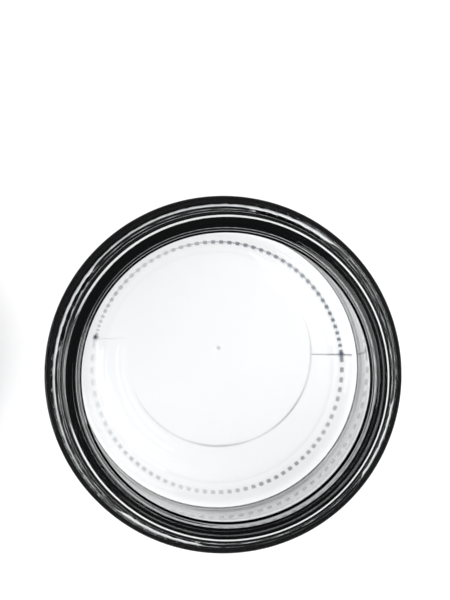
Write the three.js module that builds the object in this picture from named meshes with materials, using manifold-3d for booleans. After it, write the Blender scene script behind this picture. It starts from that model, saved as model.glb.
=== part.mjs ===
// Cosmetic cream jar: a clear glass jar with a four-start quarter-turn finish, and its closure.
// The closure is an aluminium overshell on a moulded inner cap with four lugs, a foam liner, and a
// loose sealing disc. The jar stands open, the lid stands beside it, and the disc lies on the lid.
// Millimetres, +Z up. The origin is on the standing surface, at the centre of the whole footprint.

import * as THREE from 'three';
import { mergeVertices } from 'three/addons/utils/BufferGeometryUtils.js';
import Module from 'manifold-3d';

// ---- Driving dimensions ----

// Glass jar
const JAR_HEIGHT = 64; // foot to sealing rim
const FINISH_HEIGHT = 13; // shoulder to sealing rim
const THREAD_DIAMETER = 62; // over the thread crests
const THREAD_DEPTH = 1.2; // crest above the neck wall
const SHOULDER_WIDTH = 3; // body wall outside the thread crests
const LIP_WIDTH = 3.9; // glass between neck wall and mouth
const NECK_WALL = 2.3; // glass of the neck below the lip
const SIDE_WALL = 3; // glass of the body
const BASE_THICKNESS = 5; // glass under the cream
const HEEL_RADIUS = 4.6; // outside corner at the foot
const INNER_CORNER_RADIUS = 3; // inside corner at the floor
const SHOULDER_RADIUS = 2.2; // outside corner at the top of the body
const NECK_FILLET = 1; // between shoulder and neck
const LIP_RADIUS = 1.1; // outer edge of the sealing rim
const LIP_LAND = 0.6; // flat top of the sealing rim
const LIP_DROP = 1.6; // from the sealing rim to the narrowest point of the mouth
const LIP_DEPTH = 6; // from the sealing rim to where the lip has drawn back to the neck wall
const INNER_SHOULDER_RISE = 4.2; // height over which the bore opens to the body
const FOOT_WIDTH = 2; // flat bearing ring
const PUSH_UP = 0.9; // hollow under the base
const PUSH_UP_SLOPE = 2.5; // width of the ramp into it

// Threads: four ridges, each a short ramp
const THREAD_STARTS = 4;
const THREAD_PHASE = 57; // degrees from +X to the top end of the first ridge
const THREAD_SWEEP = 72; // degrees that one ridge covers
const THREAD_DROP = 2.4; // fall of one ridge from its top end to its low end
const THREAD_WIDTH = 2.6; // height of the ridge where it meets the neck
const THREAD_TOP = 2.6; // ridge centre below the rim, at its top end
const THREAD_RUN_OUT = 9; // degrees over which each end fades

// Lid
const CAP_CLEARANCE = 0.5; // cap bore outside the thread crests, on the radius
const CAP_WALL = 1; // skirt of the inner cap
const CAP_TOP = 1.2; // top of the inner cap
const SHELL_WALL = 0.7; // aluminium overshell
const SHELL_EDGE_RADIUS = 2.2; // rounded top edge of the overshell
const SKIRT_CLEARANCE = 0.8; // shut lid above the shoulder
const LINER_THICKNESS = 1.6; // foam disc
const LINER_BEAD = 0.7; // ring that keeps the liner in, standing in from the cap bore
const LUG_CLEARANCE = 0.5; // lug tips outside the neck wall
const LUG_HEIGHT = 1.8; // along the axis
const LUG_DROP = 0.2; // lugs below the low end of the ridges when shut
const LUG_PASS = 4; // degrees that a lug has to spare as it drops between two ridges

// Sealing disc
const DISC_THICKNESS = 0.9;
const DISC_DISH = 2; // depth of the middle below the rim flange
const DISC_CLEARANCE = 0.6; // dish inside the mouth, on the radius
const DISC_INSET = 0.8; // flange edge inside the neck wall
const TAB_WIDTH = 13;
const TAB_LENGTH = 15;
const TAB_RISE = 3; // degrees that the tab slopes up from its hinge

// Layout
const SEAT_GAP = 0.3; // between pieces that touch
const STAND_GAP = 20; // between the jar and the lid on the table

// Facets
const TURNS = 64; // facets round every turned piece
const ARC_STEPS = 5; // facets on a quarter round

// ---- Sizes that follow ----

const threadRadius = THREAD_DIAMETER / 2;
const neckRadius = threadRadius - THREAD_DEPTH;
const mouthRadius = neckRadius - LIP_WIDTH;
const bodyRadius = threadRadius + SHOULDER_WIDTH;
const innerRadius = bodyRadius - SIDE_WALL;
const shoulderHeight = JAR_HEIGHT - FINISH_HEIGHT;
const footOuter = bodyRadius - HEEL_RADIUS;
const footInner = footOuter - FOOT_WIDTH;

const capBore = threadRadius + CAP_CLEARANCE;
const capRadius = capBore + CAP_WALL;
const shellBore = capRadius + SEAT_GAP;
const lidRadius = shellBore + SHELL_WALL;
const skirtDepth = FINISH_HEIGHT - SKIRT_CLEARANCE; // below the sealing rim when shut
const linerFace = skirtDepth; // underside of the liner above the lid's bottom edge
const linerTop = linerFace + LINER_THICKNESS;
const capCeiling = linerTop + SEAT_GAP;
const capHeight = capCeiling + CAP_TOP;
const shellCeiling = capHeight + SEAT_GAP;
const lidHeight = shellCeiling + SHELL_WALL;
const linerRadius = capBore - SEAT_GAP;
const lugTip = neckRadius + LUG_CLEARANCE;
const lugSweep = 360 / THREAD_STARTS - THREAD_SWEEP - LUG_PASS;
const ridgeBottom = JAR_HEIGHT - THREAD_TOP - THREAD_DROP - THREAD_WIDTH / 2;
const lugBottom = ridgeBottom - LUG_DROP - LUG_HEIGHT - shoulderHeight - SKIRT_CLEARANCE;

const footprint = 2 * bodyRadius + STAND_GAP + 2 * lidRadius;
const jarX = footprint / 2 - bodyRadius;
const lidX = lidRadius - footprint / 2;

// ---- Shape helpers ----

const radians = THREE.MathUtils.degToRad;
const point = (radius, height) => new THREE.Vector2(radius, height);

/** Points on an arc in the half plane of a turned profile, from one angle to another, in degrees. */
function arc(radius, height, size, from, to, steps = ARC_STEPS, rise = size) {
  return Array.from({ length: steps + 1 }, (_, i) => {
    const angle = radians(from + ((to - from) * i) / steps);
    return point(radius + size * Math.cos(angle), height + rise * Math.sin(angle));
  });
}

/** An S-shaped stretch between two points, level in radius at both of its ends. */
function ease(from, to, steps) {
  return Array.from({ length: steps + 1 }, (_, i) => {
    const t = i / steps;
    const blend = (1 - Math.cos(Math.PI * t)) / 2;
    return point(from.x + (to.x - from.x) * blend, from.y + (to.y - from.y) * t);
  });
}

/** A turned piece, its profile given as radius and height, with +Z up. */
function turned(profile) {
  const geometry = new THREE.LatheGeometry(profile, TURNS);
  geometry.rotateX(Math.PI / 2);
  return geometry;
}

/** A closed piece through a row of convex sections that all have the same number of points. */
function loft(sections) {
  const count = sections[0].length;
  const last = (sections.length - 1) * count;
  const positions = sections.flat().flatMap((p) => [p.x, p.y, p.z]);
  const faces = [];
  for (let s = 0; s + 1 < sections.length; s += 1) {
    for (let i = 0; i < count; i += 1) {
      const a = s * count + i;
      const b = s * count + ((i + 1) % count);
      faces.push(a, b + count, b, a, a + count, b + count);
    }
  }
  for (let i = 1; i + 1 < count; i += 1) {
    faces.push(0, i, i + 1, last, last + i + 1, last + i);
  }
  const geometry = new THREE.BufferGeometry();
  geometry.setAttribute('position', new THREE.Float32BufferAttribute(positions, 3));
  geometry.setIndex(faces);
  return geometry;
}

const wasm = await Module();
wasm.setup();

/** A closed geometry as a manifold solid. */
function solid(source) {
  const bare = source.clone();
  bare.deleteAttribute('normal');
  bare.deleteAttribute('uv');
  const merged = mergeVertices(bare, 1e-4);
  const index = merged.index.array;
  const triangles = [];
  for (let i = 0; i < index.length; i += 3) {
    const [a, b, c] = [index[i], index[i + 1], index[i + 2]];
    if (a !== b && b !== c && c !== a) {
      triangles.push(a, b, c);
    }
  }
  return new wasm.Manifold(new wasm.Mesh({
    numProp: 3,
    vertProperties: new Float32Array(merged.attributes.position.array),
    triVerts: new Uint32Array(triangles),
  }));
}

/** A manifold solid as a geometry. */
function geometryOf(manifold) {
  const mesh = manifold.getMesh();
  const geometry = new THREE.BufferGeometry();
  geometry.setAttribute('position', new THREE.Float32BufferAttribute(mesh.vertProperties, 3));
  geometry.setIndex(Array.from(mesh.triVerts));
  return geometry;
}

/** The turned body and every added piece, as one solid. */
function joined(body, pieces) {
  return geometryOf(pieces.reduce((whole, piece) => whole.add(solid(piece)), solid(body)));
}

/** One upright section of a ridge at an angle round the axis, given as [radius, height] pairs. */
function sectionAt(angle, outline) {
  const [c, s] = [Math.cos(angle), Math.sin(angle)];
  return outline.map(([radius, height]) => new THREE.Vector3(radius * c, radius * s, height));
}

// ---- Glass jar ----

/** A thread ridge that starts near the rim and falls clockwise, seen from above. */
function threadRidge(start) {
  const steps = 13;
  const root = neckRadius - THREAD_DEPTH;
  const sections = [];
  for (let i = 0; i <= steps; i += 1) {
    const travel = i / steps;
    const along = travel * THREAD_SWEEP;
    const fromEnd = Math.min(along, THREAD_SWEEP - along);
    const fade = Math.sin((Math.PI / 2) * Math.min(1, (fromEnd + 1) / THREAD_RUN_OUT));
    const middle = JAR_HEIGHT - THREAD_TOP - THREAD_DROP * travel;
    const crest = neckRadius + THREAD_DEPTH * fade;
    const half = (THREAD_WIDTH / 2) * (0.5 + 0.5 * fade);
    sections.push(sectionAt(radians(start - along), [
      [root, middle - half * 1.5],
      [root, middle + half * 1.5],
      [crest, middle + half * 0.4],
      [crest, middle - half * 0.4],
    ]));
  }
  return loft(sections);
}

function glassJar() {
  const rim = JAR_HEIGHT;
  const lipOuter = neckRadius - LIP_RADIUS;
  const lipSlope = lipOuter - LIP_LAND - mouthRadius;
  const neckInner = neckRadius - NECK_WALL;
  const boreBottom = shoulderHeight - NECK_FILLET;
  const profile = [
    point(0, PUSH_UP),
    point(footInner - PUSH_UP_SLOPE, PUSH_UP),
    point(footInner, 0),
    ...arc(footOuter, HEEL_RADIUS, HEEL_RADIUS, -90, 0),
    ...arc(bodyRadius - SHOULDER_RADIUS, shoulderHeight - SHOULDER_RADIUS, SHOULDER_RADIUS, 0, 90),
    ...arc(neckRadius + NECK_FILLET, shoulderHeight + NECK_FILLET, NECK_FILLET, 270, 180, 3),
    ...arc(lipOuter, rim - LIP_RADIUS, LIP_RADIUS, 0, 90, 3),
    ...arc(mouthRadius + lipSlope, rim - LIP_DROP, lipSlope, 90, 180, ARC_STEPS, LIP_DROP),
    ...ease(point(mouthRadius, rim - LIP_DROP), point(neckInner, rim - LIP_DEPTH), 5).slice(1),
    ...ease(point(neckInner, boreBottom), point(innerRadius, boreBottom - INNER_SHOULDER_RISE), 6),
    ...arc(innerRadius - INNER_CORNER_RADIUS, BASE_THICKNESS + INNER_CORNER_RADIUS,
      INNER_CORNER_RADIUS, 0, -90),
    point(0, BASE_THICKNESS),
  ];
  const ridges = Array.from({ length: THREAD_STARTS }, (_, i) => (
    threadRidge(THREAD_PHASE + (360 / THREAD_STARTS) * i)
  ));
  return joined(turned(profile), ridges);
}

// ---- Lid ----

/** The aluminium overshell: a drawn cup, mouth down. */
function lidShell() {
  const corner = SHELL_EDGE_RADIUS;
  const innerCorner = corner - SHELL_WALL;
  return turned([
    point(0, shellCeiling),
    ...arc(shellBore - innerCorner, shellCeiling - innerCorner, innerCorner, 90, 0, 3),
    point(shellBore, 0),
    point(lidRadius, 0),
    ...arc(lidRadius - corner, lidHeight - corner, corner, 0, 90),
    point(0, lidHeight),
  ]);
}

/** A lug inside the cap's skirt, which runs under a thread ridge of the jar. */
function capLug(middle) {
  const steps = 4;
  const root = capBore + CAP_WALL / 2;
  return loft(Array.from({ length: steps + 1 }, (_, i) => (
    sectionAt(radians(middle + lugSweep * (i / steps - 0.5)), [
      [lugTip, lugBottom + LUG_HEIGHT * 0.25],
      [root, lugBottom],
      [root, lugBottom + LUG_HEIGHT],
      [lugTip, lugBottom + LUG_HEIGHT * 0.75],
    ])
  )));
}

/** The moulded inner cap: a cup inside the overshell, with a ring that holds the liner in. */
function innerCap() {
  const corner = SHELL_EDGE_RADIUS;
  const beadTop = linerFace - SEAT_GAP;
  const profile = [
    point(0, capCeiling),
    point(capBore, capCeiling),
    point(capBore, beadTop),
    point(capBore - LINER_BEAD, beadTop - LINER_BEAD / 2),
    point(capBore, beadTop - LINER_BEAD * 1.5),
    point(capBore, SEAT_GAP),
    point(capRadius, SEAT_GAP),
    ...arc(capRadius - corner, capHeight - corner, corner, 0, 90, 3),
    point(0, capHeight),
  ];
  const lugs = Array.from({ length: THREAD_STARTS }, (_, i) => (
    capLug(THREAD_PHASE + (360 / THREAD_STARTS) * (i + 0.5))
  ));
  return joined(turned(profile), lugs);
}

/** The foam liner, a plain disc against the cap's ceiling. */
function capLiner() {
  return turned([
    point(0, linerFace),
    point(linerRadius, linerFace),
    point(linerRadius, linerTop),
    point(0, linerTop),
  ]);
}

// ---- Sealing disc ----

/** A pull tab: a round-ended tongue that slopes up from its hinge at the disc's middle. */
function pullTab() {
  const half = TAB_WIDTH / 2;
  const outline = new THREE.Shape();
  outline.moveTo(-half, 0);
  outline.lineTo(half, 0);
  outline.lineTo(half, TAB_LENGTH - half);
  outline.absarc(0, TAB_LENGTH - half, half, 0, Math.PI, false);
  outline.closePath();
  const geometry = new THREE.ExtrudeGeometry(outline, {
    depth: DISC_THICKNESS * 0.8,
    bevelEnabled: false,
    curveSegments: 8,
  });
  geometry.rotateX(radians(TAB_RISE));
  geometry.translate(0, -TAB_LENGTH / 2, DISC_THICKNESS + SEAT_GAP);
  return geometry;
}

/** The strip that joins the tab to the disc. */
function tabHinge() {
  const length = DISC_THICKNESS;
  const height = DISC_THICKNESS + SEAT_GAP;
  const geometry = new THREE.BoxGeometry(TAB_WIDTH, length, height);
  geometry.translate(0, (length - TAB_LENGTH) / 2, DISC_THICKNESS / 2 + height / 2);
  return geometry;
}

/** A thin dished disc. Its flange rests on the glass rim and its dish drops into the mouth. */
function sealingDisc() {
  const dish = mouthRadius - DISC_CLEARANCE;
  const flange = neckRadius - DISC_INSET;
  const slope = DISC_DISH * 0.35;
  const profile = [
    point(0, 0),
    point(dish - slope, 0),
    point(dish, DISC_DISH),
    point(flange, DISC_DISH),
    point(flange, DISC_DISH + DISC_THICKNESS),
    point(dish - DISC_THICKNESS, DISC_DISH + DISC_THICKNESS),
    point(dish - slope - DISC_THICKNESS, DISC_THICKNESS),
    point(0, DISC_THICKNESS),
  ];
  return joined(turned(profile), [tabHinge(), pullTab()]);
}

// ---- Assembly ----

const materials = {
  glass: { color: 0xf2f7f6, roughness: 0.02, metalness: 0, transparent: true, opacity: 0.35 },
  aluminium: { color: 0xc9cacb, roughness: 0.32, metalness: 1 },
  capPlastic: { color: 0xf1f1ee, roughness: 0.4, metalness: 0 },
  foam: { color: 0xf6f6f3, roughness: 0.85, metalness: 0 },
  discPlastic: { color: 0xeef1f1, roughness: 0.45, metalness: 0 },
};

function named(name, geometry, look) {
  const mesh = new THREE.Mesh(geometry, new THREE.MeshStandardMaterial(materials[look]));
  mesh.name = name;
  return mesh;
}

const jar = named('glass_jar', glassJar(), 'glass');
jar.position.x = jarX;

const lid = new THREE.Group();
lid.position.x = lidX;
lid.add(named('lid_shell', lidShell(), 'aluminium'));
lid.add(named('lid_inner_cap', innerCap(), 'capPlastic'));
lid.add(named('lid_liner', capLiner(), 'foam'));

const disc = named('sealing_disc', sealingDisc(), 'discPlastic');
disc.position.set(lidX, 0, lidHeight + SEAT_GAP);

const creamJar = new THREE.Group();
creamJar.add(jar, lid, disc);

export default creamJar;
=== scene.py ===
"""An open glass cream jar, seen into its mouth, with its lid and sealing disc beside it."""

import math

import bpy
import numpy as np
from mathutils import Matrix, Vector


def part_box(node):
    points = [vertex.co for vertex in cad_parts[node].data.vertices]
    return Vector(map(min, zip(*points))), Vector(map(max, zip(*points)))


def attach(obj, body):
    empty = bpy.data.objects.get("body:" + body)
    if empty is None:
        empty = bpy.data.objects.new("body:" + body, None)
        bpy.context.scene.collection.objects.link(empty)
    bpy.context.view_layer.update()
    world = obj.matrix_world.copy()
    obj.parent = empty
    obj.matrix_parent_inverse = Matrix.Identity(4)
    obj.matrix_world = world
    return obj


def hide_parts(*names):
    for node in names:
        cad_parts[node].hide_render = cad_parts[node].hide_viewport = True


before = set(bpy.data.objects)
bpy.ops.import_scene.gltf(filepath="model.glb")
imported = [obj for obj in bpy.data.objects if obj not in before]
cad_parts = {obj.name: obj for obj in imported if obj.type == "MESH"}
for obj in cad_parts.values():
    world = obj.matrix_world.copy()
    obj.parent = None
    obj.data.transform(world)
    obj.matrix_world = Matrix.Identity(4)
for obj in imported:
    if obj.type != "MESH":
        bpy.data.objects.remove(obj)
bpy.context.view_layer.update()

MM = 0.001


def axis_place(name):
    """Where a node's axis stands, in millimetres."""
    low, high = (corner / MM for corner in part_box(name))
    return (low.x + high.x) / 2, (low.y + high.y) / 2


def outer_size(name):
    """A node's outer radius, and its lowest and highest points, in millimetres."""
    low, high = (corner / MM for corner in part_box(name))
    return (high.x - low.x) / 2, low.z, high.z


JAR_X, JAR_Y = axis_place("glass_jar")
LID_X, LID_Y = axis_place("lid_shell")
JAR_PLACE = (JAR_X, JAR_Y, 0)
LID_PLACE = (LID_X, LID_Y, 0)
BODY_R, _, JAR_TOP = outer_size("glass_jar")
LID_R, _, LID_TOP = outer_size("lid_shell")
CAP_R, CAP_FOOT, CAP_TOP = outer_size("lid_inner_cap")
LINER_R, LINER_FOOT, LINER_TOP = outer_size("lid_liner")
DISC_R, DISC_FOOT, _ = outer_size("sealing_disc")

# ---- Sizes of the glass, in millimetres ----
FINISH_HEIGHT = 13
LIP_WIDTH = 3.9
NECK_WALL = 2.3
SIDE_WALL = 3
SHOULDER_Z = JAR_TOP - FINISH_HEIGHT
THREAD_R = 31
THREAD_DEPTH = 1.2
NECK_R = THREAD_R - THREAD_DEPTH
MOUTH_R = NECK_R - LIP_WIDTH
NECK_INNER_R = NECK_R - NECK_WALL
INNER_R = BODY_R - SIDE_WALL
FLOOR_Z = 5
HEEL = 4.6
SHOULDER_CORNER = 2.7
NECK_FILLET = 1
LIP = 1.1  # radius of the rim's outer edge
LAND = 0.5  # width of the flat at the top of the rim
LIP_DROP = 1.6  # how far the rim falls from its flat to its narrowest
LIP_DEPTH = 6  # how far below the rim the inside of the lip has drawn back to the neck
INNER_CORNER = 3
INNER_RISE = 4.2
FOOT_WIDTH = 2
FOOT_OUT = BODY_R - HEEL
FOOT_IN = FOOT_OUT - FOOT_WIDTH
PUSH_UP = 0.9
PUSH_SLOPE = 2.5

THREADS = 4
THREAD_PHASE = 57
THREAD_SWEEP = 72
THREAD_DROP = 2.4
THREAD_WIDTH = 2.6
THREAD_TOP = 2.6
THREAD_RUN_OUT = 9

# ---- Mould marks of the glass ----
BARS = 96  # stipple bars round the foot
BAR_COLUMNS = 6  # mesh columns from one bar to the next
BAR_SHARE = (2, 3, 4)  # the columns among them that the bar takes
COLUMNS = BARS * BAR_COLUMNS
BAR_HEIGHT = 0.32
BAR_MIDDLE_R = 28.4
BAR_LENGTH = 0.95  # along the radius
BAR_IN = BAR_MIDDLE_R - BAR_LENGTH / 2
BAR_OUT = BAR_MIDDLE_R + BAR_LENGTH / 2
BAR_EDGE = 0.12  # half the width of a bar's end slope
PLATE_CENTRE = (0.27, 3.06)  # of the baffle plate's mark, from the jar's axis
PLATE_R = 20.9
PLATE_GROOVE = 0.03
PLATE_GROOVE_HALF = 0.14
UNDERSIDE_TOP = 1.2  # no point of the pushed-up base is higher than this
SEAM_RIDGE = 0.14  # height of the seam that crosses the base outside the plate's mark
SEAM_CROSSINGS = ((28.26, 2.8), (-27.6, 6.7))  # where it meets the stipple ring, from the jar's axis
SEAM_REACH = 2.6  # how far past the foot the seam runs
SIDE_SEAM_DEGREES = (-2.9, 177.7)
SIDE_SEAM_HEIGHT = 0.14
SIDE_SEAM_HALF = 0.7  # degrees
WAVE = 0.05  # unevenness of the blown inside
CHILL = 0.012  # depth of the small wrinkles on the shoulder
LIP_RIPPLE = 0.09  # depth of the rings on the inside of the lip
LIP_RING_STEP = 0.62
DIMPLE_ASIDE = 1.24  # how far the middle dimple lies from the plate's middle
DIMPLE_DEPTH = 0.2
DIMPLE_R = 0.5

# How much painted shade each mark puts on the glass, from 0 for clear to 1, and how it takes red, green and
# blue. The marks are real shapes, but the dark they show comes from how they bend light, and here that dark
# is painted into the glass's colour.
BAR_PAINTED_SHADE = 0.86
BAR_JOIN_PAINTED_SHADE = 0.7  # of the line that joins the bars over the top
PLATE_PAINTED_SHADE = 0.6
# The seam's painted shade is strong on one side of the base and weak on the other, as the light falls, not as
# the glass differs.
SEAM_PAINTED_SHADE_RIGHT, SEAM_PAINTED_SHADE_LEFT = 0.93, 0.2
DIMPLE_PAINTED_SHADE = 0.45
KNOT_PAINTED_SHADE = 0.99  # of the knots where the seam crosses the stipple ring
KNOT_SIZE = 0.55
MARK_SHADE = (1.0, 0.985, 0.955)


# ---- Mesh helpers ----

def arc(r, z, size, start, end, steps, rise=None):
    """Points on an arc of a turned profile, angles in degrees. A rise makes it an ellipse."""
    turn = np.radians(np.linspace(start, end, steps + 1))
    return list(zip(r + size * np.cos(turn), z + (size if rise is None else rise) * np.sin(turn)))


def line(start, end, steps):
    """Points between two points of a profile, the end left out."""
    share = np.arange(steps) / steps
    return [(start[0] + (end[0] - start[0]) * t, start[1] + (end[1] - start[1]) * t) for t in share]


def ease(start, end, steps):
    """An S-shaped stretch, level in radius at both ends."""
    share = np.arange(steps + 1) / steps
    blend = (1 - np.cos(np.pi * share)) / 2
    return [(start[0] + (end[0] - start[0]) * b, start[1] + (end[1] - start[1]) * t)
            for b, t in zip(blend, share)]


def smooth_step(low, high, value):
    share = np.clip((value - low) / (high - low), 0, 1)
    return share * share * (3 - 2 * share)


def angle_past(turn, middle):
    """How many degrees a turn is past a middle one, from -180 to 180."""
    return (turn - middle + 180) % 360 - 180


def closed_grid(x, y, z, place):
    """A closed surface from rows of points round an axis. The first and last rows are poles."""
    rows, columns = x.shape
    rings = np.stack([x[1:-1], y[1:-1], z[1:-1]], axis=2).reshape(-1, 3)
    poles = [[axis[end].mean() for axis in (x, y, z)] for end in (0, -1)]
    points = (np.vstack([rings, poles]) + place) * MM
    bottom, top = len(rings), len(rings) + 1
    following = [(c + 1) % columns for c in range(columns)]
    faces = []
    for r in range(rows - 3):
        base, above = r * columns, (r + 1) * columns
        faces += [(base + c, base + following[c], above + following[c], above + c)
                  for c in range(columns)]
    last = (rows - 3) * columns
    faces += [(bottom, following[c], c) for c in range(columns)]
    faces += [(top, last + c, last + following[c]) for c in range(columns)]
    return points.tolist(), faces


def new_mesh(name, points, faces, smooth=True):
    mesh = bpy.data.meshes.new(name)
    mesh.from_pydata(points, [], faces)
    mesh.polygons.foreach_set("use_smooth", [smooth] * len(faces))
    mesh.update()
    return mesh


def add_piece(name, mesh, material, body, node):
    """One visible piece that stands for a CAD node and rides on its body."""
    piece = bpy.data.objects.new(name, mesh)
    bpy.context.scene.collection.objects.link(piece)
    mesh.materials.append(material)
    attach(piece, body)
    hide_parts(node)
    return piece


def turned(profile, columns, place, change=None):
    """Points and faces of a turned piece whose profile starts and ends on the axis."""
    points = np.array(profile, float)
    turn = np.arange(columns) * 360 / columns
    radius = np.repeat(points[:, :1], columns, axis=1)
    height = np.repeat(points[:, 1:], columns, axis=1)
    if change:
        radius, height = change(radius, height, turn)
    around = np.radians(turn)
    return closed_grid(radius * np.cos(around), radius * np.sin(around), height, place)


# ---- Glass jar ----

def jar_profile():
    """Rows of the glass from the middle of its underside, over the rim, to the middle of its floor."""
    bore_bottom = SHOULDER_Z - NECK_FILLET
    rows = [(0, PUSH_UP), (0.3, PUSH_UP), (0.6, PUSH_UP), (1.2, PUSH_UP), (8, PUSH_UP), (15, PUSH_UP)]
    rows += [(PLATE_R + d, PUSH_UP) for d in (-1.5, -0.32, -0.12, 0.0, 0.12, 0.32)]
    ramp_in = FOOT_IN - PUSH_SLOPE
    rows += [(ramp_in + PUSH_SLOPE * t, PUSH_UP * (1 - smooth_step(0, 1, t)))
             for t in np.linspace(0, 1, 8)]
    rows += [(r, 0) for r in (BAR_IN - BAR_EDGE, BAR_IN + BAR_EDGE, BAR_MIDDLE_R,
                              BAR_OUT - BAR_EDGE, BAR_OUT + BAR_EDGE)]
    rows += arc(FOOT_OUT, HEEL, HEEL, -90, 0, 16)
    rows += line((BODY_R, HEEL), (BODY_R, SHOULDER_Z - SHOULDER_CORNER), 6)[1:]
    rows += arc(BODY_R - SHOULDER_CORNER, SHOULDER_Z - SHOULDER_CORNER, SHOULDER_CORNER, 0, 90, 14)
    rows += arc(NECK_R + NECK_FILLET, SHOULDER_Z + NECK_FILLET, NECK_FILLET, 270, 180, 5)
    rows += line((NECK_R, SHOULDER_Z + NECK_FILLET), (NECK_R, JAR_TOP - LIP), 30)[1:]
    rows += arc(NECK_R - LIP, JAR_TOP - LIP, LIP, 0, 90, 9)
    slope = NECK_R - LIP - LAND - MOUTH_R
    rows += arc(MOUTH_R + slope, JAR_TOP - LIP_DROP, slope, 90, 180, 14, LIP_DROP)
    rows += ease((MOUTH_R, JAR_TOP - LIP_DROP), (NECK_INNER_R, JAR_TOP - LIP_DEPTH), 8)[1:]
    rows += line((NECK_INNER_R, JAR_TOP - LIP_DEPTH), (NECK_INNER_R, bore_bottom), 3)[1:]
    rows += ease((NECK_INNER_R, bore_bottom), (INNER_R, bore_bottom - INNER_RISE), 12)
    rows += line((INNER_R, bore_bottom - INNER_RISE), (INNER_R, FLOOR_Z + INNER_CORNER), 5)[1:]
    rows += arc(INNER_R - INNER_CORNER, FLOOR_Z + INNER_CORNER, INNER_CORNER, 0, -90, 10)
    rows += line((INNER_R - INNER_CORNER, FLOOR_Z), (0, FLOOR_Z), 4)[1:]
    rows.append((0, FLOOR_Z))
    return np.array(rows)


def thread_bump(turn, height):
    """How far the four ridges stand out of the neck at an angle in degrees and a height."""
    bump = np.zeros(np.broadcast(turn, height).shape)
    for i in range(THREADS):
        along = (THREAD_PHASE + 360 / THREADS * i - turn) % 360
        inside = np.minimum(along, THREAD_SWEEP - along)
        fade = np.sin(np.pi / 2 * np.clip(inside / THREAD_RUN_OUT, 0, 1))
        middle = JAR_TOP - THREAD_TOP - THREAD_DROP * along / THREAD_SWEEP
        half = THREAD_WIDTH / 2 * (0.5 + 0.5 * fade)
        across = np.clip(np.abs(height - middle) / np.maximum(half, 1e-6), 0, 1)
        bump = np.maximum(bump, THREAD_DEPTH * fade * (0.5 + 0.5 * np.cos(np.pi * across)) ** 0.7)
    return bump


def waviness(turn, along):
    """A slow, uneven swell, from -1 to 1, with the angle in degrees and a length in millimetres."""
    a = np.radians(turn)
    return (0.34 * np.sin(2 * a + 0.7 + along / 17) + 0.27 * np.sin(3 * a + 2.1 - along / 11)
            + 0.2 * np.sin(5 * a + 4.0 + along / 7) + 0.12 * np.sin(9 * a + 1.3 - along / 5)
            + 0.07 * np.sin(17 * a + 5.2 + along / 3))


def chill(turn, along):
    """Small sharp unevenness where cold mould metal wrinkled the glass, from -1 to 1."""
    a = np.radians(turn)
    return (0.4 * np.sin(61 * a + 3 * np.sin(4 * a) + along * 2.3) + 0.35 * np.sin(97 * a - along * 1.7)
            + 0.25 * np.sin(143 * a + 2 * np.sin(7 * a) + along * 3.1))


class Grid:
    """Rows of the jar's profile by columns round it, and masks for the rows that lie in one place."""

    def __init__(self):
        rows = jar_profile()
        self.r, self.z = rows[:, :1], rows[:, 1:]
        self.turn = np.arange(COLUMNS)[None, :] * 360 / COLUMNS
        index = np.arange(len(rows))[:, None]
        rim = int(np.argmax(self.z))
        self.inside = index > rim
        self.under = (index < rim) & (self.z < UNDERSIDE_TOP) & (self.r < FOOT_OUT + 2)
        self.on_ring = (self.r > BAR_IN) & (self.r < BAR_OUT) & self.under & (self.z < 0.01)
        self.bar = self.on_ring & np.isin(np.arange(COLUMNS) % BAR_COLUMNS, BAR_SHARE)[None, :]


def glass_surface(grid):
    """Radius and height of each point with the threads and what blowing and the mould leave uneven."""
    r, z, turn, inside = grid.r, grid.z, grid.turn, grid.inside
    on_neck = (np.abs(r - NECK_R) < 1e-6) & (z > SHOULDER_Z + NECK_FILLET) & ~inside
    radius = r + np.where(on_neck, thread_bump(turn, z), 0)
    fade = smooth_step(JAR_TOP - 0.2, JAR_TOP - 4, z) * smooth_step(0, 12, r)
    radius = radius + WAVE * waviness(turn, z) * fade * inside
    on_floor = inside & (z < FLOOR_Z + 2)
    height = z + np.where(on_floor, WAVE * 1.6 * waviness(turn, r) * smooth_step(0, 14, r), 0)
    on_shoulder = (z > SHOULDER_Z - SHOULDER_CORNER) & (z < SHOULDER_Z + 0.2) & ~inside
    height = height + np.where(on_shoulder, CHILL * chill(turn, r) - CHILL, 0)
    on_lip = inside & (z > JAR_TOP - LIP_DROP + 0.05)
    rings = 0.5 - 0.5 * np.cos(2 * np.pi * (NECK_R - LIP - LAND - r) / LIP_RING_STEP)
    height = height - np.where(on_lip, LIP_RIPPLE * rings * (1 + 0.4 * waviness(turn, 3)), 0)
    on_top = ~inside & (z > HEEL) & (z < SHOULDER_Z + 0.1) & (np.abs(r - BODY_R) > 1e-6)
    for seam in SIDE_SEAM_DEGREES:
        ridge = np.clip(1 - np.abs(angle_past(turn, seam)) / SIDE_SEAM_HALF, 0, 1)
        height = height + np.where(on_top, SIDE_SEAM_HEIGHT * ridge, 0)
    return radius, height


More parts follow.
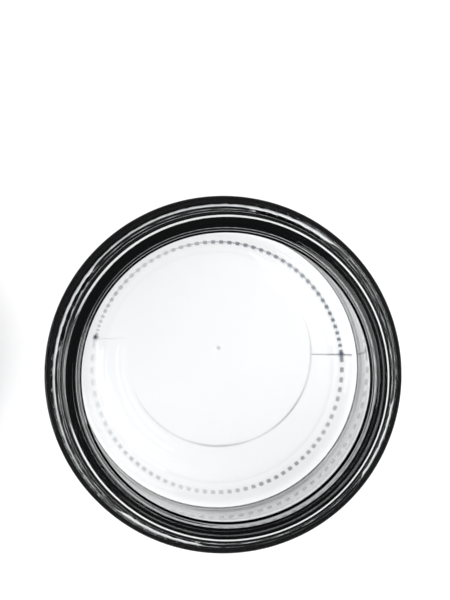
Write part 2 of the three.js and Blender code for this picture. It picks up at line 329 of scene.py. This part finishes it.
def base_layout(grid):
    """The middle of each row, the angle of each point, and the height of the seam there.

    Under the plate's mark the rows are round the mark's own middle. The columns swing, so that one of
    them follows each half of the seam.
    """
    r, z, turn = grid.r, grid.z, grid.turn
    blend = np.where(grid.under, 1 - smooth_step(PLATE_R + 0.4, FOOT_IN - PUSH_SLOPE, r), 0)
    centre_x, centre_y = PLATE_CENTRE[0] * blend, PLATE_CENTRE[1] * blend
    around = np.radians(turn + 0 * r)
    seam = np.zeros_like(around)
    swings = grid.under | (~grid.inside & (z < HEEL))
    on_line = ~grid.inside & (z < UNDERSIDE_TOP) & (r > PLATE_R + 0.2) & (r < FOOT_OUT + SEAM_REACH)
    fade = smooth_step(4, 12, r) * (1 - smooth_step(FOOT_OUT + SEAM_REACH + 0.2, FOOT_OUT + HEEL * 0.98, r))
    for cross_x, cross_y in SEAM_CROSSINGS:
        nominal = 0 if cross_x > 0 else 180
        wanted = np.arctan2(cross_y - centre_y, np.maximum(r, 1) * math.copysign(1, cross_x))
        swing = angle_past(np.degrees(wanted), nominal) * fade * swings
        gap = np.abs(angle_past(turn, nominal))
        around += np.radians(swing * np.clip(1 - gap / 40, 0, 1) ** 2)
        seam = np.where(on_line & (gap < 0.3), SEAM_RIDGE, seam)
    return centre_x, centre_y, around, seam


def foot_lift(grid):
    """How far the foot is drawn up between the stipple bars, whose tops stay at its lowest point."""
    foot = grid.under & (grid.r > FOOT_IN - 0.4)
    heel = ~grid.inside & (grid.r > FOOT_OUT - 0.01) & (grid.z < 0.6) & ~foot
    on_foot = 1 - smooth_step(FOOT_OUT, FOOT_OUT + 1.5, grid.r)
    on_heel = 1 - smooth_step(FOOT_OUT, FOOT_OUT + 2.2, grid.r)
    lift = BAR_HEIGHT * np.where(heel, on_heel, np.where(foot, on_foot, 0))
    return np.where(grid.bar, 0, lift)


def painted_shade_of_marks(grid, x, y, height, seam):
    """How much painted shade darkens the glass at each mould mark, 0 for clear."""
    r, turn = grid.r, np.radians(grid.turn)
    # The bars' painted shade is stronger over the top and on some sides than on others, as the light falls,
    # not as the glass differs.
    over_top = smooth_step(-0.1, 0.75, np.sin(turn))
    middle = grid.under & (np.abs(r - BAR_MIDDLE_R) < 0.01)
    painted_shade = np.maximum(np.where(grid.bar, BAR_PAINTED_SHADE, 0), np.where(middle, BAR_JOIN_PAINTED_SHADE * over_top, 0))
    bar_shade_by_side = 0.55 + 0.3 * np.sin(turn + math.radians(100)) + 0.15 * np.sin(5 * turn + math.radians(40))
    painted_shade = painted_shade * np.where(grid.on_ring, np.clip(bar_shade_by_side + 0.3 * over_top, 0.25, 1), 1)
    on_plate = grid.under & (np.abs(r - PLATE_R) < BAR_EDGE + 0.01)
    # The plate's mark gets painted shade mostly on one side, as the light falls.
    plate_shade_by_side = np.clip(np.cos(turn + math.radians(62)) * 1.1 + 0.25, 0, 1) * (0.75 + 0.25 * np.sin(7 * turn))
    painted_shade = np.maximum(painted_shade, np.where(on_plate, PLATE_PAINTED_SHADE * plate_shade_by_side, 0))
    # The seam gets strong painted shade on one side and weak painted shade on the other.
    seam_left = SEAM_PAINTED_SHADE_LEFT * smooth_step(FOOT_OUT, FOOT_IN - 1, r)
    seam_painted_shade = np.where(np.cos(turn) < 0, seam_left, SEAM_PAINTED_SHADE_RIGHT)
    painted_shade = np.maximum(painted_shade, np.where(seam > 0, seam_painted_shade, 0))
    painted_shade = np.maximum(painted_shade, np.where(grid.under & (r < 0.4), DIMPLE_PAINTED_SHADE, 0))
    for knot_x, knot_y in SEAM_CROSSINGS:
        away = np.hypot(x - knot_x, y - knot_y)
        close = np.clip(1.7 - away / KNOT_SIZE, 0, 1) * (height < 1) * ~grid.inside
        painted_shade = np.maximum(painted_shade, KNOT_PAINTED_SHADE * close)
    return painted_shade


def jar_mesh():
    """The glass, with its marks in the shape, and painted shade over the marks in a colour attribute that the
    glass's material reads.
    """
    grid = Grid()
    radius, height = glass_surface(grid)
    centre_x, centre_y, around, seam = base_layout(grid)
    height = height + foot_lift(grid)
    groove = PLATE_GROOVE * np.clip(1 - np.abs(grid.r - PLATE_R) / PLATE_GROOVE_HALF, 0, 1)
    height = height + np.where(grid.under, groove, 0)
    height = height - np.minimum(seam, height * 0.999)
    height = height + np.where(grid.under & (grid.r < DIMPLE_R), DIMPLE_DEPTH, 0)
    x = centre_x + radius * np.cos(around)
    y = centre_y + radius * np.sin(around)
    y = y + np.where(grid.under, DIMPLE_ASIDE * (1 - smooth_step(1, 9, grid.r)), 0)
    mesh = new_mesh("jar_glass", *closed_grid(x, y, height, JAR_PLACE))
    # Painted shade on the mould marks, put into the glass's colour.
    colours = 1 - painted_shade_of_marks(grid, x, y, height, seam)[..., None] * np.array(MARK_SHADE)
    colours = np.concatenate([colours, np.ones_like(colours[..., :1])], axis=2)
    colours = np.vstack([colours[1:-1].reshape(-1, 4), colours[0, :1], colours[-1, :1]])
    mark_painted_shade = mesh.color_attributes.new("mark_painted_shade", "FLOAT_COLOR", "POINT")
    mark_painted_shade.data.foreach_set("color", colours.ravel())
    return mesh


# ---- Lid ----

SHELL_WALL, SHELL_TOP, SHELL_HEM = 0.7, 0.7, 0.45
TOP_EDGE = 2.2  # radius of the top edge of the shell and of the inner cap
CAP_WALL, CAP_CEILING = 1, 1.2
LINER_GAP, LINER_BEAD = 0.3, 0.7
LUG_FOOT, LUG_TOP, LUG_SLOPE = 3.85, 5.75, 0.45
LUG_SWEEP, LUG_END_SLOPE = 14, 0.35  # degrees
LUG_CLEARANCE = 0.5  # from a lug's tip to the jar's neck, with the lid on
SKIRT_EDGE = 0.3


def shell_profile():
    """The overshell, from the middle of its ceiling, round its rolled hem, to the middle of its top."""
    inner, ceiling = LID_R - SHELL_WALL, LID_TOP - SHELL_TOP
    corner = inner - TOP_EDGE + SHELL_WALL
    rows = line((0, ceiling), (corner, ceiling), 5)
    rows += arc(corner, ceiling - TOP_EDGE + SHELL_WALL, TOP_EDGE - SHELL_WALL, 90, 0, 8)
    rows += line((inner, ceiling - TOP_EDGE), (inner, SHELL_HEM), 4)[1:]
    rows += arc(LID_R - SHELL_WALL / 2, SHELL_WALL / 2, SHELL_WALL / 2, 180, 360, 10)
    rows += line((LID_R, SHELL_HEM), (LID_R, LID_TOP - TOP_EDGE), 10)[1:]
    rows += arc(LID_R - TOP_EDGE, LID_TOP - TOP_EDGE, TOP_EDGE, 0, 90, 14)
    rows += line((LID_R - TOP_EDGE, LID_TOP), (0, LID_TOP), 14)[1:]
    return rows + [(0, LID_TOP)]


def cap_profile():
    """The inner cap, from the middle of its ceiling, past the liner's bead and the lugs, to its top."""
    bore, ceiling = CAP_R - CAP_WALL, CAP_TOP - CAP_CEILING
    bead_top, bead = LINER_FOOT - LINER_GAP, LINER_BEAD
    rows = line((0, ceiling), (bore, ceiling), 5)
    rows += line((bore, ceiling), (bore, bead_top), 2)
    rows += [(bore, bead_top), (bore - bead * 0.8, bead_top - bead * 0.3), (bore - bead, bead_top - bead / 2),
             (bore - bead * 0.8, bead_top - bead * 0.75), (bore, bead_top - bead * 1.5)]
    lug_rows = [LUG_TOP - 0.05 - LUG_SLOPE * i for i in range(5)]
    rows += [(bore, z) for z in (8.5, LUG_TOP + LUG_SLOPE, LUG_TOP, *lug_rows, LUG_FOOT, 3.4, 2, 0.9)]
    rows += arc(bore + SKIRT_EDGE, CAP_FOOT + SKIRT_EDGE, SKIRT_EDGE, 180, 270, 4)
    rows += arc(CAP_R - SKIRT_EDGE, CAP_FOOT + SKIRT_EDGE, SKIRT_EDGE, 270, 360, 4)
    rows += line((CAP_R, 1), (CAP_R, CAP_TOP - TOP_EDGE), 4)
    rows += arc(CAP_R - TOP_EDGE, CAP_TOP - TOP_EDGE, TOP_EDGE, 0, 90, 8)
    rows += line((CAP_R - TOP_EDGE, CAP_TOP), (0, CAP_TOP), 4)[1:]
    return rows + [(0, CAP_TOP)]


def with_lugs(radius, height, turn):
    """The four lugs inside the skirt."""
    bore, tip = CAP_R - CAP_WALL, NECK_R + LUG_CLEARANCE
    share = 360 / THREADS
    for i in range(THREADS):
        gap = np.abs(angle_past(turn, THREAD_PHASE + share / 2 + share * i))
        across = smooth_step(LUG_SWEEP / 2 + LUG_END_SLOPE, LUG_SWEEP / 2 - LUG_END_SLOPE, gap)[None, :]
        up = smooth_step(LUG_FOOT, LUG_FOOT + LUG_SLOPE, height) * smooth_step(
            LUG_TOP, LUG_TOP - LUG_SLOPE, height)
        on_bore = np.abs(radius - bore) < 0.01
        radius = np.where(on_bore, radius - (bore - tip) * across * up, radius)
    return radius, height


def puck_profile(radius, foot, top, edge, steps=6):
    """A plain round slab with small round edges."""
    rows = line((0, foot), (radius - edge, foot), steps)
    rows += arc(radius - edge, foot + edge, edge, -90, 0, 4)
    rows += arc(radius - edge, top - edge, edge, 0, 90, 4)
    rows += line((radius - edge, top), (0, top), steps)[1:]
    return rows + [(0, top)]


# ---- Sealing disc ----

DISH_DEPTH, DISH_SLOPE, DISH_CLEARANCE = 2, 0.7, 0.6
DISC_SHEET = 0.9
DISH_CORNER, LEDGE_CORNER = 0.5, 0.35
TAB_HALF, TAB_LENGTH, TAB_SHEET, TAB_TILT = 6.5, 15, 0.72, 3
TAB_GAP = 0.3
HINGE_LENGTH, HINGE_HEIGHT, HINGE_CORNER = 0.9, 1.2, 0.25


def disc_profile():
    """The dished disc, from the middle of its underside, round its rim, to the middle of its top."""
    dish, foot, floor_top = MOUTH_R - DISH_CLEARANCE, DISC_FOOT, DISC_FOOT + DISC_SHEET
    ledge, top = foot + DISH_DEPTH, foot + DISH_DEPTH + DISC_SHEET
    low_corner = dish - DISH_SLOPE - DISH_CORNER
    rows = line((0, foot), (low_corner, foot), 8)
    rows += arc(low_corner, foot + DISH_CORNER, DISH_CORNER, -90, -20, 5)
    rows += arc(dish + LEDGE_CORNER, ledge - LEDGE_CORNER, LEDGE_CORNER, 160, 90, 4)
    rows += line((dish + LEDGE_CORNER, ledge), (DISC_R - 0.2, ledge), 3)[1:]
    rows += arc(DISC_R - 0.2, ledge + 0.2, 0.2, -90, 0, 3)
    rows += arc(DISC_R - 0.3, top - 0.3, 0.3, 0, 90, 4)
    inner_ledge = dish - DISC_SHEET + 0.3
    rows += line((DISC_R - 0.3, top), (inner_ledge, top), 3)[1:]
    rows += arc(inner_ledge, top - LEDGE_CORNER, LEDGE_CORNER, 90, 160, 4)
    inner_corner = low_corner - DISC_SHEET
    rows += arc(inner_corner, floor_top + DISH_CORNER, DISH_CORNER, -20, -90, 5)
    rows += line((inner_corner, floor_top), (0, floor_top), 8)[1:]
    return rows + [(0, floor_top)]


def slab(outline, thickness, edge, tilt, place):
    """A slab with soft edges. The outline gives its points for an inset; the tilt is about X, in degrees."""
    levels = [(edge * 1.8, 0), (edge, 0), (edge * 0.3, edge * 0.3), (0, edge), (0, thickness - edge),
              (edge * 0.3, thickness - edge * 0.3), (edge, thickness), (edge * 1.8, thickness)]
    rings = [np.array(outline(inset)) for inset, _ in levels]
    rings = [np.tile(rings[0].mean(axis=0), (len(rings[0]), 1))] + rings
    rings.append(rings[0])
    up = np.array([0] + [z for _, z in levels] + [thickness])[:, None] + np.zeros(len(rings[0]))
    x, y = np.stack(rings)[..., 0], np.stack(rings)[..., 1]
    lean = math.radians(tilt)
    return closed_grid(x, y * math.cos(lean) - up * math.sin(lean),
                       y * math.sin(lean) + up * math.cos(lean), place)


def tab_outline(inset):
    """The pull tab seen from above: straight sides and a half-round end."""
    half = TAB_HALF - inset
    return [(-half, inset), (0, inset), (half, inset)] + arc(0, TAB_LENGTH - TAB_HALF, half, 0, 180, 24)


def hinge_outline(inset):
    """The strip that joins the tab to the disc, with small round corners."""
    size = HINGE_CORNER - min(inset, HINGE_CORNER * 0.9)
    side, near, far = TAB_HALF - HINGE_CORNER, HINGE_CORNER, HINGE_LENGTH - HINGE_CORNER
    return (arc(side, near, size, -90, 0, 3) + arc(side, far, size, 0, 90, 3)
            + arc(-side, far, size, 90, 180, 3) + arc(-side, near, size, 180, 270, 3))


def disc_mesh():
    """The disc, with its tab on a hinge across the dish."""
    x, y, z = LID_X, LID_Y - TAB_LENGTH / 2, DISC_FOOT + DISC_SHEET
    shells = [turned(disc_profile(), 256, LID_PLACE),
              slab(tab_outline, TAB_SHEET, 0.16, TAB_TILT, (x, y, z + TAB_GAP)),
              slab(hinge_outline, HINGE_HEIGHT, 0.12, 0, (x, y, z - DISC_SHEET / 2))]
    points, faces = [], []
    for shell_points, shell_faces in shells:
        faces += [tuple(len(points) + i for i in face) for face in shell_faces]
        points += shell_points
    return new_mesh("seal_disc", points, faces)


# ---- Materials ----

def new_material(name):
    material = bpy.data.materials.new(name)
    material.use_nodes = True
    nodes = material.node_tree.nodes
    nodes.clear()
    return material, nodes, material.node_tree.links


def principled(name, colour, roughness, **values):
    """A material with one Principled shader, its nodes and links, and its object coordinates."""
    material, nodes, links = new_material(name)
    out = nodes.new("ShaderNodeOutputMaterial")
    shader = nodes.new("ShaderNodeBsdfPrincipled")
    shader.inputs["Base Color"].default_value = (*colour, 1)
    shader.inputs["Roughness"].default_value = roughness
    for key, value in values.items():
        shader.inputs[key.replace("_", " ")].default_value = value
    links.new(shader.outputs[0], out.inputs["Surface"])
    place = nodes.new("ShaderNodeTexCoord").outputs["Object"]
    return material, nodes, links, shader, place


def noise(nodes, links, place, scale, detail=3.0):
    texture = nodes.new("ShaderNodeTexNoise")
    texture.inputs["Scale"].default_value = scale
    texture.inputs["Detail"].default_value = detail
    links.new(place, texture.inputs["Vector"])
    return texture.outputs[0]


def spread(nodes, links, value, low, high):
    """A 0 to 1 value spread between two others."""
    span = nodes.new("ShaderNodeMapRange")
    span.inputs["To Min"].default_value = low
    span.inputs["To Max"].default_value = high
    links.new(value, span.inputs["Value"])
    return span.outputs[0]


def tones(nodes, links, value, dark, pale):
    ramp = nodes.new("ShaderNodeValToRGB")
    ramp.color_ramp.elements[0].position = 0.3
    ramp.color_ramp.elements[1].position = 0.7
    ramp.color_ramp.elements[0].color = (*dark, 1)
    ramp.color_ramp.elements[1].color = (*pale, 1)
    links.new(value, ramp.inputs[0])
    return ramp.outputs[0]


def bumped(nodes, links, shader, value, strength, distance):
    bump = nodes.new("ShaderNodeBump")
    bump.inputs["Strength"].default_value = strength
    bump.inputs["Distance"].default_value = distance
    links.new(value, bump.inputs["Height"])
    links.new(bump.outputs[0], shader.inputs["Normal"])


def glass_material():
    material, nodes, links = new_material("clear_flint_glass")
    out = nodes.new("ShaderNodeOutputMaterial")
    glass = nodes.new("ShaderNodeBsdfPrincipled")
    glass.inputs["Roughness"].default_value = 0
    glass.inputs["IOR"].default_value = 1.52
    glass.inputs["Transmission Weight"].default_value = 1
    # The glass's colour carries the painted shade of its mould marks.
    mark_painted_shade = nodes.new("ShaderNodeVertexColor")
    mark_painted_shade.layer_name = "mark_painted_shade"
    links.new(mark_painted_shade.outputs["Color"], glass.inputs["Base Color"])
    place = nodes.new("ShaderNodeTexCoord").outputs["Object"]
    bumped(nodes, links, glass, noise(nodes, links, place, 90, 2), 0.03, 0.0003)
    lamps = nodes.new("ShaderNodeBsdfTransparent")
    lamps.inputs["Color"].default_value = (0.985, 0.988, 0.992, 1)
    path = nodes.new("ShaderNodeLightPath")
    mix = nodes.new("ShaderNodeMixShader")
    links.new(path.outputs["Is Shadow Ray"], mix.inputs[0])
    links.new(glass.outputs[0], mix.inputs[1])
    links.new(lamps.outputs[0], mix.inputs[2])
    links.new(mix.outputs[0], out.inputs["Surface"])
    body = nodes.new("ShaderNodeVolumeAbsorption")
    body.inputs["Color"].default_value = (0.80, 0.90, 0.88, 1)
    body.inputs["Density"].default_value = 4
    links.new(body.outputs[0], out.inputs["Volume"])
    return material


def metal_material():
    material, nodes, links, shader, place = principled(
        "spun_satin_aluminium", (0.78, 0.785, 0.79), 0.3, Metallic=1)
    shift = nodes.new("ShaderNodeMapping")
    shift.inputs["Location"].default_value = (-LID_X * MM, 0, 0)
    links.new(place, shift.inputs["Vector"])
    rings = nodes.new("ShaderNodeTexWave")
    rings.wave_type = "RINGS"
    rings.rings_direction = "Z"
    rings.inputs["Scale"].default_value = 900
    rings.inputs["Distortion"].default_value = 1.5
    rings.inputs["Detail"].default_value = 3
    rings.inputs["Detail Scale"].default_value = 2
    links.new(shift.outputs[0], rings.inputs["Vector"])
    squeeze = nodes.new("ShaderNodeMapping")
    squeeze.inputs["Scale"].default_value = (40, 40, 5000)
    links.new(place, squeeze.inputs["Vector"])
    brush = noise(nodes, links, squeeze.outputs[0], 1.0, 4)
    both = nodes.new("ShaderNodeMath")
    both.operation = "ADD"
    links.new(rings.outputs[1], both.inputs[0])
    links.new(brush, both.inputs[1])
    half = nodes.new("ShaderNodeMath")
    half.operation = "MULTIPLY"
    half.inputs[1].default_value = 0.5
    links.new(both.outputs[0], half.inputs[0])
    links.new(spread(nodes, links, half.outputs[0], 0.24, 0.42), shader.inputs["Roughness"])
    links.new(tones(nodes, links, noise(nodes, links, place, 60), (0.74, 0.745, 0.75), (0.81, 0.813, 0.815)),
              shader.inputs["Base Color"])
    bumped(nodes, links, shader, half.outputs[0], 0.12, 0.00004)
    return material


def cap_material():
    material, nodes, links, shader, place = principled("moulded_polypropylene", (0.92, 0.92, 0.9), 0.42)
    links.new(tones(nodes, links, noise(nodes, links, place, 45), (0.9, 0.9, 0.88), (0.935, 0.935, 0.92)),
              shader.inputs["Base Color"])
    links.new(spread(nodes, links, noise(nodes, links, place, 350), 0.36, 0.5), shader.inputs["Roughness"])
    bumped(nodes, links, shader, noise(nodes, links, place, 2400, 2), 0.15, 0.00003)
    return material


def foam_material():
    material, nodes, links, shader, place = principled("closed_cell_foam", (0.94, 0.94, 0.92), 0.85)
    cells = nodes.new("ShaderNodeTexVoronoi")
    cells.inputs["Scale"].default_value = 3500
    links.new(place, cells.inputs["Vector"])
    links.new(tones(nodes, links, noise(nodes, links, place, 120), (0.9, 0.9, 0.88), (0.95, 0.95, 0.935)),
              shader.inputs["Base Color"])
    bumped(nodes, links, shader, cells.outputs[0], 0.5, 0.0001)
    return material


def disc_material():
    material, nodes, links, shader, place = principled(
        "natural_polyethylene", (0.9, 0.925, 0.93), 0.38, IOR=1.5, Transmission_Weight=0.35)
    links.new(tones(nodes, links, noise(nodes, links, place, 70), (0.86, 0.89, 0.9), (0.93, 0.945, 0.95)),
              shader.inputs["Base Color"])
    links.new(spread(nodes, links, noise(nodes, links, place, 300), 0.3, 0.48), shader.inputs["Roughness"])
    bumped(nodes, links, shader, noise(nodes, links, place, 900, 2), 0.2, 0.00005)
    return material


# ---- Pieces ----

add_piece("jar_glass", jar_mesh(), glass_material(), "jar", "glass_jar")
add_piece("lid_overshell", new_mesh("lid_overshell", *turned(shell_profile(), 256, LID_PLACE)),
          metal_material(), "lid", "lid_shell")
add_piece("lid_cap", new_mesh("lid_cap", *turned(cap_profile(), 360, LID_PLACE, with_lugs)),
          cap_material(), "lid", "lid_inner_cap")
add_piece("lid_foam", new_mesh("lid_foam", *turned(
    puck_profile(LINER_R, LINER_FOOT, LINER_TOP, 0.2), 192, LID_PLACE)),
    foam_material(), "lid", "lid_liner")
add_piece("seal_disc", disc_mesh(), disc_material(), "disc", "sealing_disc")

# ---- Stage ----

# The camera sees a plain pale sky and floor. A ray mirrored off an outside surface sees both dimmed, and a
# ray mirrored inside the glass sees them near black. This stands in for the dark cards round a
# photographed glass, and without it the rim renders pale grey.
WHITE = (1, 1, 1)
NIGHT_COLOUR = (0.004, 0.005, 0.005)
SKY_STRENGTH = 1
HORIZON_STRENGTH, OVERHEAD_STRENGTH = 0.24, 0.05  # of the dimmed sky
HORIZON_RISE, OVERHEAD_RISE = 0.35, 0.85  # upward part of the direction in which each ends or begins
PALE_FLOOR, DIMMED_FLOOR, DARK_FLOOR = (0.94, 0.94, 0.945), (0.27, 0.27, 0.275), (0.007, 0.007, 0.009)
DARK_START, DARK_FULL = 39.5, 42.5  # from the jar's axis, for a ray mirrored only once
FLOOR_HALF = 3000
FLOOR_DROP = 0.05  # below the foot
KEY_PLACE, KEY_POWER = (-1000, -600, 1600), 12.2
FILL_PLACE, FILL_POWER = (1200, 900, 1600), 10.6
LIGHT_SIZE = 1600


def mixed(tree, first, second, factor):
    """The first shader, giving way to the second as the factor goes from 0 to 1."""
    mix = tree.nodes.new("ShaderNodeMixShader")
    tree.links.new(factor, mix.inputs[0])
    tree.links.new(first, mix.inputs[1])
    tree.links.new(second, mix.inputs[2])
    return mix.outputs[0]


def combined(tree, operation, first, second):
    """Two values put together by a math node, held between 0 and 1."""
    node = tree.nodes.new("ShaderNodeMath")
    node.operation = operation
    node.use_clamp = True
    tree.links.new(first, node.inputs[0])
    tree.links.new(second, node.inputs[1])
    return node.outputs[0]


def more_than(tree, output, most):
    """1 for a ray whose count of bounces of one kind is more than so many, else 0."""
    path = tree.nodes.new("ShaderNodeLightPath")
    above = tree.nodes.new("ShaderNodeMath")
    above.operation = "GREATER_THAN"
    above.inputs[1].default_value = most + 0.5
    tree.links.new(path.outputs[output], above.inputs[0])
    return above.outputs[0]


def mirrored_inside(tree, most):
    """1 for a ray that has passed into glass and been mirrored more than so many times, else 0."""
    return combined(tree, "MULTIPLY", more_than(tree, "Glossy Depth", most),
                    more_than(tree, "Transmission Depth", 0))


def ramp(tree, value, low, high):
    """0 up to a low value, 1 from a high one."""
    rise = tree.nodes.new("ShaderNodeMapRange")
    rise.inputs["From Min"].default_value = low
    rise.inputs["From Max"].default_value = high
    tree.links.new(value, rise.inputs["Value"])
    return rise.outputs[0]


def diffuse(tree, colour):
    shader = tree.nodes.new("ShaderNodeBsdfDiffuse")
    shader.inputs["Color"].default_value = (*colour, 1)
    return shader.outputs[0]


def background(tree, colour, strength):
    shader = tree.nodes.new("ShaderNodeBackground")
    shader.inputs["Color"].default_value = (*colour, 1)
    shader.inputs["Strength"].default_value = strength
    return shader.outputs[0]


def floor_material():
    material, nodes, links = new_material("pale_floor")
    tree = material.node_tree
    away = nodes.new("ShaderNodeVectorMath")
    away.operation = "DISTANCE"
    away.inputs[1].default_value = (JAR_X * MM, JAR_Y * MM, 0)
    links.new(nodes.new("ShaderNodeNewGeometry").outputs["Position"], away.inputs[0])
    far = ramp(tree, away.outputs["Value"], DARK_START * MM, DARK_FULL * MM)
    far_away = combined(tree, "MULTIPLY", far, mirrored_inside(tree, 0))
    dark = combined(tree, "MAXIMUM", far_away, mirrored_inside(tree, 1))
    outside = combined(tree, "SUBTRACT", more_than(tree, "Glossy Depth", 0),
                       more_than(tree, "Transmission Depth", 0))
    seen = mixed(tree, diffuse(tree, PALE_FLOOR), diffuse(tree, DIMMED_FLOOR), outside)
    out = nodes.new("ShaderNodeOutputMaterial")
    links.new(mixed(tree, seen, diffuse(tree, DARK_FLOOR), dark), out.inputs["Surface"])
    return material


def floor_mesh():
    half, z = FLOOR_HALF * MM, -FLOOR_DROP * MM
    corners = [(-half, -half, z), (half, -half, z), (half, half, z), (-half, half, z)]
    return new_mesh("floor", corners, [(0, 1, 2, 3)], False)


def studio_world():
    world = bpy.data.worlds.new("studio")
    world.use_nodes = True
    tree = world.node_tree
    tree.nodes.clear()
    direction = tree.nodes.new("ShaderNodeSeparateXYZ")
    tree.links.new(tree.nodes.new("ShaderNodeTexCoord").outputs["Generated"], direction.inputs[0])
    overhead = ramp(tree, direction.outputs["Z"], HORIZON_RISE, OVERHEAD_RISE)
    dimmed = mixed(tree, background(tree, WHITE, HORIZON_STRENGTH),
                   background(tree, WHITE, OVERHEAD_STRENGTH), overhead)
    sky = background(tree, WHITE, SKY_STRENGTH)
    seen = mixed(tree, sky, dimmed, more_than(tree, "Glossy Depth", 0))
    out = tree.nodes.new("ShaderNodeOutputWorld")
    night = background(tree, NIGHT_COLOUR, 1)
    tree.links.new(mixed(tree, seen, night, mirrored_inside(tree, 0)), out.inputs["Surface"])
    return world


def area_light(name, place, power):
    """A round lamp that shines at the jar's foot."""
    light = bpy.data.lights.new(name, "AREA")
    light.shape = "DISK"
    light.size = LIGHT_SIZE * MM
    light.energy = power
    lamp = bpy.data.objects.new(name, light)
    lamp.location = Vector(place) * MM
    lamp.rotation_mode = "QUATERNION"
    toward = (Vector(JAR_PLACE) - Vector(place)) * MM
    lamp.rotation_quaternion = toward.to_track_quat("-Z", "Y")
    bpy.context.scene.collection.objects.link(lamp)


floor = bpy.data.objects.new("floor", floor_mesh())
bpy.context.scene.collection.objects.link(floor)
floor.data.materials.append(floor_material())
bpy.context.scene.world = studio_world()
area_light("key", KEY_PLACE, KEY_POWER)
area_light("fill", FILL_PLACE, FILL_POWER)

# ---- Camera ----

LENS, SENSOR = 78.12, 36
NEAREST, FARTHEST = 10, 50000  # how near and how far the camera sees
EDGE_Z = SHOULDER_Z - SHOULDER_CORNER
CAMERA_HEIGHT = 248  # above the widest edge of the jar
CAMERA_ASIDE = (-7.84, 8.78)  # from the jar's axis
LOOK_ASIDE = (0.24, 14.1)  # where the middle of the view meets that edge's plane

camera_data = bpy.data.cameras.new("camera")
camera_data.sensor_width = SENSOR
camera_data.lens = LENS
camera_data.clip_start = NEAREST * MM
camera_data.clip_end = FARTHEST * MM
camera = bpy.data.objects.new("camera", camera_data)
bpy.context.scene.collection.objects.link(camera)
bpy.context.scene.camera = camera
eye = Vector((JAR_X + CAMERA_ASIDE[0], JAR_Y + CAMERA_ASIDE[1], EDGE_Z + CAMERA_HEIGHT)) * MM
aim = Vector((JAR_X + LOOK_ASIDE[0], JAR_Y + LOOK_ASIDE[1], EDGE_Z)) * MM
ahead = (aim - eye).normalized()
right = ahead.cross(Vector((0, 1, 0))).normalized()
up = right.cross(ahead)
camera.matrix_world = Matrix.Translation(eye) @ Matrix((right, up, -ahead)).transposed().to_4x4()

bpy.context.scene.view_settings.view_transform = "Standard"
